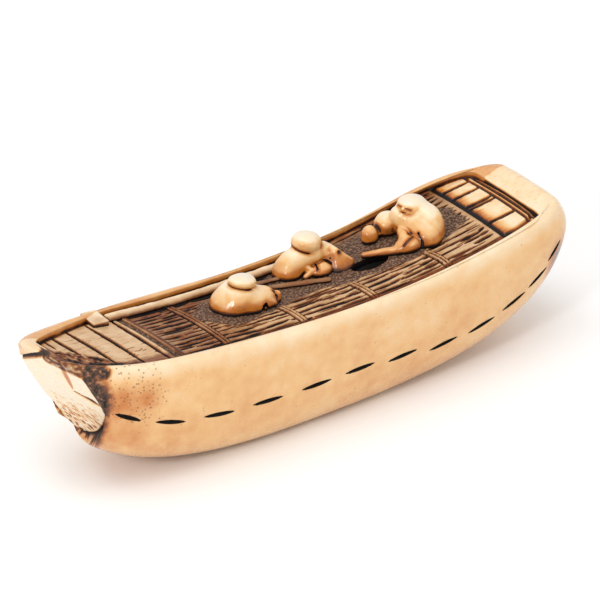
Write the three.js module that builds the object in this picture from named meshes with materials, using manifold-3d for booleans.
// Netsuke: a flat-bottomed river boat with three crouching passengers, carved from one piece.
// Millimetres. +Z is up, the bow points to -X, the stern to +X; -Y is the port side.
// The origin is the middle of the outline, on the surface the boat stands on.
import * as THREE from 'three';
import { mergeVertices } from 'three/addons/utils/BufferGeometryUtils.js';
import Module from 'manifold-3d';

const wasm = await Module();
wasm.setup();

// Hull
const BOW_LENGTH = 36.9;          // amidships to the bow tip
const STERN_LENGTH = 36.4;        // amidships to the stern
const HALF_BEAM = 8.8;
const RIM_HEIGHT = 14.15;         // rim above the table, amidships
const KEEL_FLAT = 0.5;            // height taken off the keel curve to make the standing flat
const BOW_SHEER = 3.5;            // rise of the rim towards each end
const STERN_SHEER = 2.6;
const PLAN_POWER = { bow: { port: 5.4, starboard: 2.25 }, stern: 4.7 };  // superellipse exponents
const SHOULDER = { at: -18, reach: 15, out: 0.7 };  // fullness of the starboard bow
const BOW_SWING = { size: 2.55, power: 3 };  // the bow tip is set over to starboard
const KEEL_POWER = 2.6;           // how full the keel line is in side view
const SECTION_POWER = 3.6;        // how square the cross-section is amidships and at the stern
const BOW_SECTION_POWER = { port: 4, starboard: 2.05 };
const RIM_ROUND = 0.7;            // rounding of the rim's outer edge
const TUMBLEHOME = { depth: 4.2, side: 0.25, stern: 0.8, aft: 1.5 };
const LIFT = { size: 1.3, from: 8, over: 20, wide: 18.3, port: 9.5 };  // starboard stern raised

// Deck recess
const DECK_DROP = 0.85;           // deck below the rim, at its edges
const DECK_CROWN = 0.3;
const DECK_BOW = -34.5;           // the recess's ends, from amidships
const DECK_STERN = 30.9;
const PORT_EDGE = { narrow: 6.5, wide: 7.8, at: 12, spread: 20 };
const STARBOARD_EDGE = 7.7;
const RIM_WIDTH = 0.9;            // least width left outside the recess
const DECK_ENDS = { bow: { port: 9, starboard: 4 }, stern: 16 };  // how square the recess's ends are

const MAT_EDGE = -20.7;           // forward edge of the straw mats
const GROOVE = { width: 0.35, depth: 0.25 };
const BOW_JOINTS = [[-22.4, -5.3, 6.4], [-25.7, -5.1, 6.4], [-28.8, -3.8, 6.3], [-31.3, -0.5, 5.2]];
const STERN_PANEL = { from: 25.4, to: 30.9, joints: [5.6, 3.7, 1.0, -2.75] };
const LASHINGS = [[-14.5, -6.3, 6.5], [-4, -6.6, -1.6], [5.9, -7.2, -2.2], [16.7, -7.4, -2.6]];
const POLE = { from: -22.5, to: 2, y: 6.25, width: 1.2, height: 0.75 };

// Slits low along each side
const SLIT = {
  stations: [-29.4, -24.2, -17.8, -11.1, -4.2, 2.1, 8.4, 14.6, 20.4, 25.4, 29.2, 32],
  length: 4, width: 0.42, depth: 0.35, above: 7.1, bowDrop: 0.9, sternDrop: 2.1,
};

// Bow face: a raked flat cut with a rounded lower end
const FACE_TURN = 8;              // degrees from the centre line towards port
const FACE_RAKE = 31;             // degrees it leans in below
const FACE_DISTANCE = 21.3;       // from amidships at keel height, along its normal
const FACE_LOW = 17.2;            // its lower end, up the face
const FACE_CENTRE = 7.2;          // its lower end, across the face
const FACE_SIDES = {              // the lower end's corners: half-width, height and roundness
  port: { half: 8.9, rise: 12, power: 1.5 },
  starboard: { half: 2.3, rise: 4, power: 3 },
};

// Cord channel, from the deck right through the hull
const CHANNEL = { x: 10.5, y: 0.1, long: 2.6, wide: 1.2 };

const rad = THREE.MathUtils.degToRad;
const fraction = x => Math.min(Math.abs(x) / (x < 0 ? BOW_LENGTH : STERN_LENGTH), 1);
const superellipse = (s, power) => Math.max(1 - s ** power, 0) ** (1 / power);
const smooth = t => { const c = Math.min(Math.max(t, 0), 1); return c * c * (3 - 2 * c); };

// ---- hull shape, x measured from amidships ----

function rimHeight(x) {
  return RIM_HEIGHT + (x < 0 ? BOW_SHEER : STERN_SHEER) * fraction(x) ** 2;
}

function keelDepth(x) {
  return (rimHeight(x) + KEEL_FLAT) * superellipse(fraction(x), KEEL_POWER);
}

function keelY(x) {
  return x < 0 ? BOW_SWING.size * fraction(x) ** BOW_SWING.power : 0;
}

function sideY(x, side) {
  const power = x < 0 ? PLAN_POWER.bow[side < 0 ? 'port' : 'starboard'] : PLAN_POWER.stern;
  const hump = Math.max(1 - ((x - SHOULDER.at) / SHOULDER.reach) ** 2, 0) ** 2;
  return keelY(x) + side * HALF_BEAM * superellipse(fraction(x), power)
    + (side > 0 ? SHOULDER.out * hump : 0);
}

function sectionPower(x, side) {
  if (x >= 0) return SECTION_POWER;
  const atBow = BOW_SECTION_POWER[side < 0 ? 'port' : 'starboard'];
  return SECTION_POWER + (atBow - SECTION_POWER) * fraction(x) ** 3;
}

// Height of the hull's outside below plan point (x, y).
function bottomHeight(x, y, side) {
  const middle = keelY(x);
  const reach = Math.abs(sideY(x, side) - middle);
  const u = reach > 1e-6 ? Math.min(Math.abs(y - middle) / reach, 1) : 1;
  return rimHeight(x) - keelDepth(x) * superellipse(u, sectionPower(x, side));
}

// Stations from the stern to the bow, evenly spaced along the rim's mean outline.
function stations(count) {
  const fine = 1200;
  const dense = Array.from({ length: fine + 1 }, (_, i) => {
    const c = Math.cos(i / fine * Math.PI);
    const x = Math.sign(c) * (c < 0 ? BOW_LENGTH : STERN_LENGTH) * Math.abs(c) ** 0.5;
    return new THREE.Vector2(x, (sideY(x, 1) - sideY(x, -1)) / 2);
  });
  const run = [0];
  dense.slice(1).forEach((p, i) => run.push(run[i] + p.distanceTo(dense[i])));
  return Array.from({ length: count + 1 }, (_, k) => {
    const goal = k / count * run[fine];
    const i = Math.min(run.findIndex((r, j) => j === fine || run[j + 1] >= goal), fine - 1);
    return THREE.MathUtils.lerp(dense[i].x, dense[i + 1].x, (goal - run[i]) / (run[i + 1] - run[i]));
  });
}

// The rim's outline, round from the stern by starboard, each point with its outward direction.
function rimOutline(count) {
  const xs = stations(count);
  const points = [
    ...xs.map(x => new THREE.Vector2(x, sideY(x, 1))),
    ...xs.slice(1, -1).reverse().map(x => new THREE.Vector2(x, sideY(x, -1))),
  ];
  return points.map((p, k) => {
    const next = points[(k + 1) % points.length];
    const along = next.clone().sub(points.at(k - 1)).normalize();
    return { x: p.x, y: p.y, side: k > count ? -1 : 1, out: new THREE.Vector2(along.y, -along.x) };
  });
}

// How far the hull draws in, `drop` below the rim, where it faces aft by `aft`.
function drawIn(x, drop, aft) {
  const lean = TUMBLEHOME.side + (TUMBLEHOME.stern - TUMBLEHOME.side) * smooth(x / STERN_LENGTH)
    + TUMBLEHOME.aft * Math.max(aft, 0) ** 2;
  const above = Math.max(1 - drop / TUMBLEHOME.depth, 0);
  const edge = Math.max(1 - drop / RIM_ROUND, 0);
  return lean * above ** 2 + RIM_ROUND * (1 - Math.sqrt(1 - edge ** 2));
}

function hull() {
  const outline = rimOutline(38);
  const levels = [0, 0.01, 0.03, 0.08, 0.18, 0.33, 0.5, 0.67, 0.81, 0.91, 0.975, 0.996, 1];
  const rings = levels.map(level => outline.map(({ x, y, side, out }) => {
    const reach = superellipse(level, SECTION_POWER);
    const spineX = 0.72 * x;
    const px = spineX + (x - spineX) * reach;
    const py = keelY(spineX) + (y - keelY(spineX)) * reach;
    const z = bottomHeight(px, py, side);
    const inward = drawIn(px, rimHeight(px) - z, out.x);
    return [px - out.x * inward, py - out.y * inward, z];
  }));
  const top = outline.map(({ x }) => [0.72 * x, keelY(0.72 * x), rimHeight(0.72 * x)]);
  const underTable = new THREE.BoxGeometry(80, 40, 10).translate(0, 0, -5);
  return solid(skin([top, ...rings])).subtract(solid(underTable));
}

// ---- helpers that turn rings of points into solids ----

// A closed surface over rings of equal length, running round and then along.
function skin(rings, capped = false) {
  const count = rings[0].length;
  const positions = rings.flat(2);
  const index = [];
  for (let r = 0; r + 1 < rings.length; r++) {
    for (let k = 0; k < count; k++) {
      const a = r * count + k;
      const b = r * count + (k + 1) % count;
      index.push(a, a + count, b, b, a + count, b + count);
    }
  }
  if (capped) {
    for (const [r, flip] of [[0, 0], [rings.length - 1, 1]]) {
      const centre = positions.length / 3;
      for (const axis of [0, 1, 2]) {
        positions.push(rings[r].reduce((sum, p) => sum + p[axis], 0) / count);
      }
      for (let k = 0; k < count; k++) {
        const a = r * count + k;
        const b = r * count + (k + 1) % count;
        index.push(centre, flip ? b : a, flip ? a : b);
      }
    }
  }
  const geometry = new THREE.BufferGeometry();
  geometry.setAttribute('position', new THREE.Float32BufferAttribute(positions, 3));
  geometry.setIndex(index);
  return geometry;
}

function solid(geometry) {
  let g = geometry.clone();
  g.deleteAttribute('normal');
  g.deleteAttribute('uv');
  g = mergeVertices(g, 1e-5);
  const vertices = new Float32Array(g.attributes.position.array);
  const triangles = [];
  const index = g.index.array;
  for (let i = 0; i < index.length; i += 3) {
    const [a, b, c] = [index[i], index[i + 1], index[i + 2]];
    if (a !== b && b !== c && a !== c) triangles.push(a, b, c);
  }
  const mesh = new wasm.Mesh({
    numProp: 3, vertProperties: vertices, triVerts: new Uint32Array(triangles),
  });
  const body = new wasm.Manifold(mesh);
  if (body.volume() >= 0) return body;
  for (let i = 0; i < triangles.length; i += 3) {
    [triangles[i], triangles[i + 1]] = [triangles[i + 1], triangles[i]];
  }
  return new wasm.Manifold(new wasm.Mesh({
    numProp: 3, vertProperties: vertices, triVerts: new Uint32Array(triangles),
  }));
}

const union = bodies => bodies.reduce((sum, body) => sum.add(body));

// ---- deck ----

const DECK_MIDDLE = (DECK_BOW + DECK_STERN) / 2;

// Share of the deck's full width left at x, rounding its ends off.
function deckTaper(x, side) {
  const half = (DECK_STERN - DECK_BOW) / 2;
  const s = Math.min(Math.abs(x - DECK_MIDDLE) / half, 1);
  const bowPower = DECK_ENDS.bow[side < 0 ? 'port' : 'starboard'];
  return superellipse(s, x < DECK_MIDDLE ? bowPower : DECK_ENDS.stern);
}

function deckEdge(x, side) {
  const middle = 0.5 + keelY(x);
  const bulge = Math.exp(-(((x - PORT_EDGE.at) / PORT_EDGE.spread) ** 2));
  const portEdge = PORT_EDGE.narrow + (PORT_EDGE.wide - PORT_EDGE.narrow) * bulge;
  const widest = side > 0 ? STARBOARD_EDGE : portEdge;
  const y = side * Math.min(widest, Math.abs(sideY(x, side)) - RIM_WIDTH);
  return middle + (y - middle) * deckTaper(x, side);
}

function deckHeight(x, v) {
  return rimHeight(x) - DECK_DROP + DECK_CROWN * (1 - v * v);
}

function deckRecess() {
  const count = 44;
  const half = (DECK_STERN - DECK_BOW) / 2;
  const rings = [];
  for (let i = 0; i <= count; i++) {
    const c = Math.cos(i / count * Math.PI);
    const x = DECK_MIDDLE - half * Math.sign(c) * Math.abs(c) ** 0.6;
    const [port, starboard] = [deckEdge(x, -1), deckEdge(x, 1)];
    const across = v => port + (starboard - port) * (v + 1) / 2;
    const floor = [-1, -0.5, 0, 0.5, 1].map(v => [x, across(v), deckHeight(x, v)]);
    rings.push([...floor, [x, starboard, 30], [x, port, 30]]);
  }
  return solid(skin(rings, true));
}

// ---- bow face ----

// The face's own frame: across to starboard, up the face, and outward.
function faceFrame() {
  const [turn, rake] = [rad(FACE_TURN), rad(FACE_RAKE)];
  const outward = new THREE.Vector3(
    -Math.cos(turn) * Math.cos(rake), -Math.sin(turn) * Math.cos(rake), -Math.sin(rake));
  const across = new THREE.Vector3(-Math.sin(turn), Math.cos(turn), 0);
  const up = new THREE.Vector3().crossVectors(across, outward);
  const frame = new THREE.Matrix4().makeBasis(across, up, outward);
  return frame.setPosition(outward.clone().multiplyScalar(FACE_DISTANCE).setZ(
    outward.z * FACE_DISTANCE - KEEL_FLAT));
}

// Everything in front of the face: rounded off below, open above.
function bowCut() {
  const lip = FACE_LOW + FACE_SIDES.starboard.rise;
  const outline = [[24, lip + 7], [FACE_CENTRE + 6, lip + 7]];
  for (let i = 0; i <= 18; i++) {
    const t = i / 18 * Math.PI;
    const { half, rise, power } = FACE_SIDES[Math.cos(t) > 0 ? 'starboard' : 'port'];
    const share = Math.sign(Math.cos(t)) * Math.abs(Math.cos(t)) ** (2 / power);
    const height = FACE_LOW + rise * (1 - Math.sin(t) ** (2 / power));
    outline.push([FACE_CENTRE + half * share, height]);
  }
  outline.push([FACE_CENTRE - 14, 42], [24, 42]);
  const shape = new THREE.Shape(outline.map(([across, up]) => new THREE.Vector2(across, up)));
  const block = new THREE.ExtrudeGeometry(shape, { depth: 20, bevelEnabled: false });
  return solid(block.applyMatrix4(faceFrame()));
}

// ---- cord channel ----

function cordChannel() {
  const count = 20;
  const ring = z => Array.from({ length: count }, (_, k) => {
    const t = k / count * 2 * Math.PI;
    return [CHANNEL.x + CHANNEL.long * Math.cos(t), CHANNEL.y + CHANNEL.wide * Math.sin(t), z];
  });
  return solid(skin([ring(-1), ring(25)], true));
}

// ---- planks, mats, lashings and the mooring pole on the deck ----

// Deck height under any plan point.
function deckAt(x, y) {
  const [port, starboard] = [deckEdge(x, -1), deckEdge(x, 1)];
  return deckHeight(x, THREE.MathUtils.clamp(2 * (y - port) / (starboard - port) - 1, -1, 1));
}

// A bar of rectangular section lying along the deck from a to b; low and high are from the deck.
function deckBar([ax, ay], [bx, by], width, low, high) {
  const steps = 4;
  const along = new THREE.Vector2(bx - ax, by - ay).normalize().multiplyScalar(width / 2);
  const rings = [];
  for (let i = 0; i <= steps; i++) {
    const [x, y] = [ax + (bx - ax) * i / steps, ay + (by - ay) * i / steps];
    const z = deckAt(x, y);
    rings.push([[1, low], [1, high], [-1, high], [-1, low]].map(
      ([hand, h]) => [x - hand * along.y, y + hand * along.x, z + h]));
  }
  return solid(skin(rings, true));
}

// The same straight across the deck, kept inside its edges.
function acrossDeck(x, from, to, width, low, high) {
  const [port, starboard] = [deckEdge(x, -1) + 0.1, deckEdge(x, 1) - 0.1];
  return deckBar([x, Math.max(from, port)], [x, Math.min(to, starboard)], width, low, high);
}

function deckGrooves() {
  const { width, depth } = GROOVE;
  return union([
    ...BOW_JOINTS.map(([x, from, to]) => acrossDeck(x, from, to, width, -depth, 1)),
    ...STERN_PANEL.joints.map(y => deckBar([STERN_PANEL.from, y], [STERN_PANEL.to, y], width, -depth, 1)),
    acrossDeck(STERN_PANEL.from - 0.25, -6.3, 7.6, 0.5, -depth, 1),
    acrossDeck(MAT_EDGE - 0.5, -5.2, 7.0, 0.8, -depth, 1),
  ]);
}

function deckRidges() {
  const pole = deckBar([POLE.from, POLE.y], [POLE.to, POLE.y], POLE.width, -0.4, POLE.height);
  return union([pole, ...LASHINGS.map(([x, from, to]) => acrossDeck(x, from, to, 0.9, -0.3, 0.14))]);
}

// ---- slits along the sides ----

function slit(x, side) {
  const s = fraction(x);
  const keel = rimHeight(x) - keelDepth(x);
  const drop = SLIT.bowDrop * smooth((-x - 12) / 18) + SLIT.sternDrop * smooth((x - 2) / 18);
  const z = keel + SLIT.above - drop;
  const u = superellipse((rimHeight(x) - z) / keelDepth(x), sectionPower(x, side));
  const y = keelY(x) + (sideY(x, side) - keelY(x)) * u;
  const ahead = keelAngle(x);
  const lens = new THREE.SphereGeometry(1, 8, 4).rotateX(Math.PI / 2);
  lens.scale(SLIT.length / 2 * (1 - 0.3 * s ** 4), SLIT.depth, SLIT.width / 2);
  lens.rotateY(-ahead).rotateZ(planAngle(x, side)).translate(x, y, z);
  return solid(lens);
}

const slope = (f, x) => Math.atan((f(x + 0.5) - f(x - 0.5)));
const keelAngle = x => 0.9 * slope(t => rimHeight(t) - keelDepth(t), x);
const planAngle = (x, side) => slope(t => sideY(t, side), x);

// ---- passengers ----

function blob([x, y, h], [rx, ry, rz], turn = 0, lean = 0) {
  const ball = new THREE.SphereGeometry(1, 12, 7).rotateX(Math.PI / 2);
  ball.scale(rx, ry, rz).rotateY(rad(lean)).rotateZ(rad(turn));
  return solid(ball.translate(x, y, deckAt(x, y) + h));
}

// A limb or pole: a tapered rod with rounded ends between two points over the deck.
function limb([ax, ay, ah], [bx, by, bh], ra, rb) {
  const a = new THREE.Vector3(ax, ay, deckAt(ax, ay) + ah);
  const b = new THREE.Vector3(bx, by, deckAt(bx, by) + bh);
  const length = a.distanceTo(b);
  const profile = [[0, -ra]];
  for (const angle of [-60, -30, 0]) {
    profile.push([ra * Math.cos(rad(angle)), ra * Math.sin(rad(angle))]);
  }
  for (const angle of [0, 30, 60]) {
    profile.push([rb * Math.cos(rad(angle)), length + rb * Math.sin(rad(angle))]);
  }
  profile.push([0, length + rb]);
  const rod = new THREE.LatheGeometry(profile.map(([r, t]) => new THREE.Vector2(r, t)), 9);
  const along = b.clone().sub(a).normalize();
  const turn = new THREE.Quaternion().setFromUnitVectors(new THREE.Vector3(0, 1, 0), along);
  return solid(rod.applyQuaternion(turn).translate(a.x, a.y, a.z));
}

// Bowed low over the pole, its back to port and its hat flat on top.
function bowPassenger() {
  return union([
    blob([-8.2, 1.5, 0.5], [2.8, 2.7, 2.0]),
    blob([-7.5, 1.2, 1.7], [1.9, 1.8, 1.35], 0, 10),
    blob([-7.3, 1.1, 3.05], [1.6, 1.4, 0.8], 20, 12),
    blob([-5.0, 0.4, 0.6], [1.9, 1.6, 1.35]),
    blob([-3.6, -0.4, 0.8], [0.7, 0.6, 0.75]),
  ]);
}

// Sitting with one knee up, looking towards the stern.
function middlePassenger() {
  return union([
    blob([2.3, 4.0, 1.2], [1.7, 1.6, 1.9], 0, 35),
    blob([1.4, 4.1, 0.4], [1.5, 1.6, 1.2]),
    blob([4.2, 3.9, 1.7], [2.0, 1.8, 1.8]),
    blob([4.2, 3.9, 3.5], [1.8, 1.65, 1.35], 0, 10),
    blob([6.5, 3.6, 1.4], [1.6, 1.5, 1.5]),
    blob([7.9, 2.1, 0.8], [1.6, 1.5, 1.35]),
    blob([4.7, 2.0, 0.4], [1.5, 1.2, 0.95]),
    limb([2.7, 3.2, 1.0], [3.4, 2.2, 0.5], 0.6, 0.55),
  ]);
}

// Leaning forward with an arm and a leg stretched towards the bow.
function sternPassenger() {
  return union([
    blob([19.0, 0.6, 1.3], [2.1, 2.6, 2.5]),
    blob([18.2, -0.6, 0.6], [1.7, 1.9, 1.6]),
    blob([17.8, 1.8, 1.4], [1.8, 1.8, 1.8]),
    blob([18.5, 2.1, 3.3], [1.8, 1.65, 1.35], 0, 15),
    blob([17.0, 2.6, 2.4], [1.2, 1.2, 1.2]),
    blob([16.2, 4.0, 1.2], [1.5, 1.5, 1.35]),
    blob([13.6, 4.0, 0.7], [1.0, 1.0, 1.3]),
    blob([15.6, -0.6, 0.5], [1.8, 1.2, 1.0], -10),
    limb([10.7, 1.4, 0.35], [14.6, -0.7, 0.4], 0.4, 0.6),
  ]);
}

function poles() {
  return union([
    limb([-3.2, 4.3, 0.2], [0.4, 3.6, 0.3], 0.4, 0.4),
    limb([-2.8, 2.7, 0.3], [4.5, -0.3, 0.3], 0.4, 0.45),
  ]);
}

// The top of the stern stands higher to starboard; the standing flat stays level.
function lift(point) {
  const across = Math.min(Math.max((point[1] + LIFT.port) / LIFT.wide, 0), 1);
  point[2] += LIFT.size * smooth((point[0] - LIFT.from) / LIFT.over) * across * smooth(point[2] / 12);
}

function netsuke() {
  const slits = SLIT.stations.flatMap(x => [slit(x, -1), slit(x, 1)]);
  const boat = hull().subtract(deckRecess()).subtract(deckGrooves()).add(deckRidges());
  const people = union([bowPassenger(), middlePassenger(), sternPassenger(), poles()]);
  const body = boat.subtract(cordChannel()).add(people).subtract(bowCut()).subtract(union(slits));
  const result = body.warp(lift).getMesh();
  const geometry = new THREE.BufferGeometry();
  geometry.setAttribute('position', new THREE.BufferAttribute(new Float32Array(result.vertProperties), 3));
  geometry.setIndex(new THREE.BufferAttribute(new Uint32Array(result.triVerts), 1));
  geometry.computeBoundingBox();
  const middle = geometry.boundingBox.getCenter(new THREE.Vector3());
  return geometry.translate(-middle.x, -middle.y, 0);
}

const ivory = new THREE.MeshStandardMaterial({ color: 0xe8c793, roughness: 0.45 });
const mesh = new THREE.Mesh(netsuke(), ivory);
mesh.name = 'netsuke';

const group = new THREE.Group();
group.name = 'netsuke_boat';
group.add(mesh);
export default group;
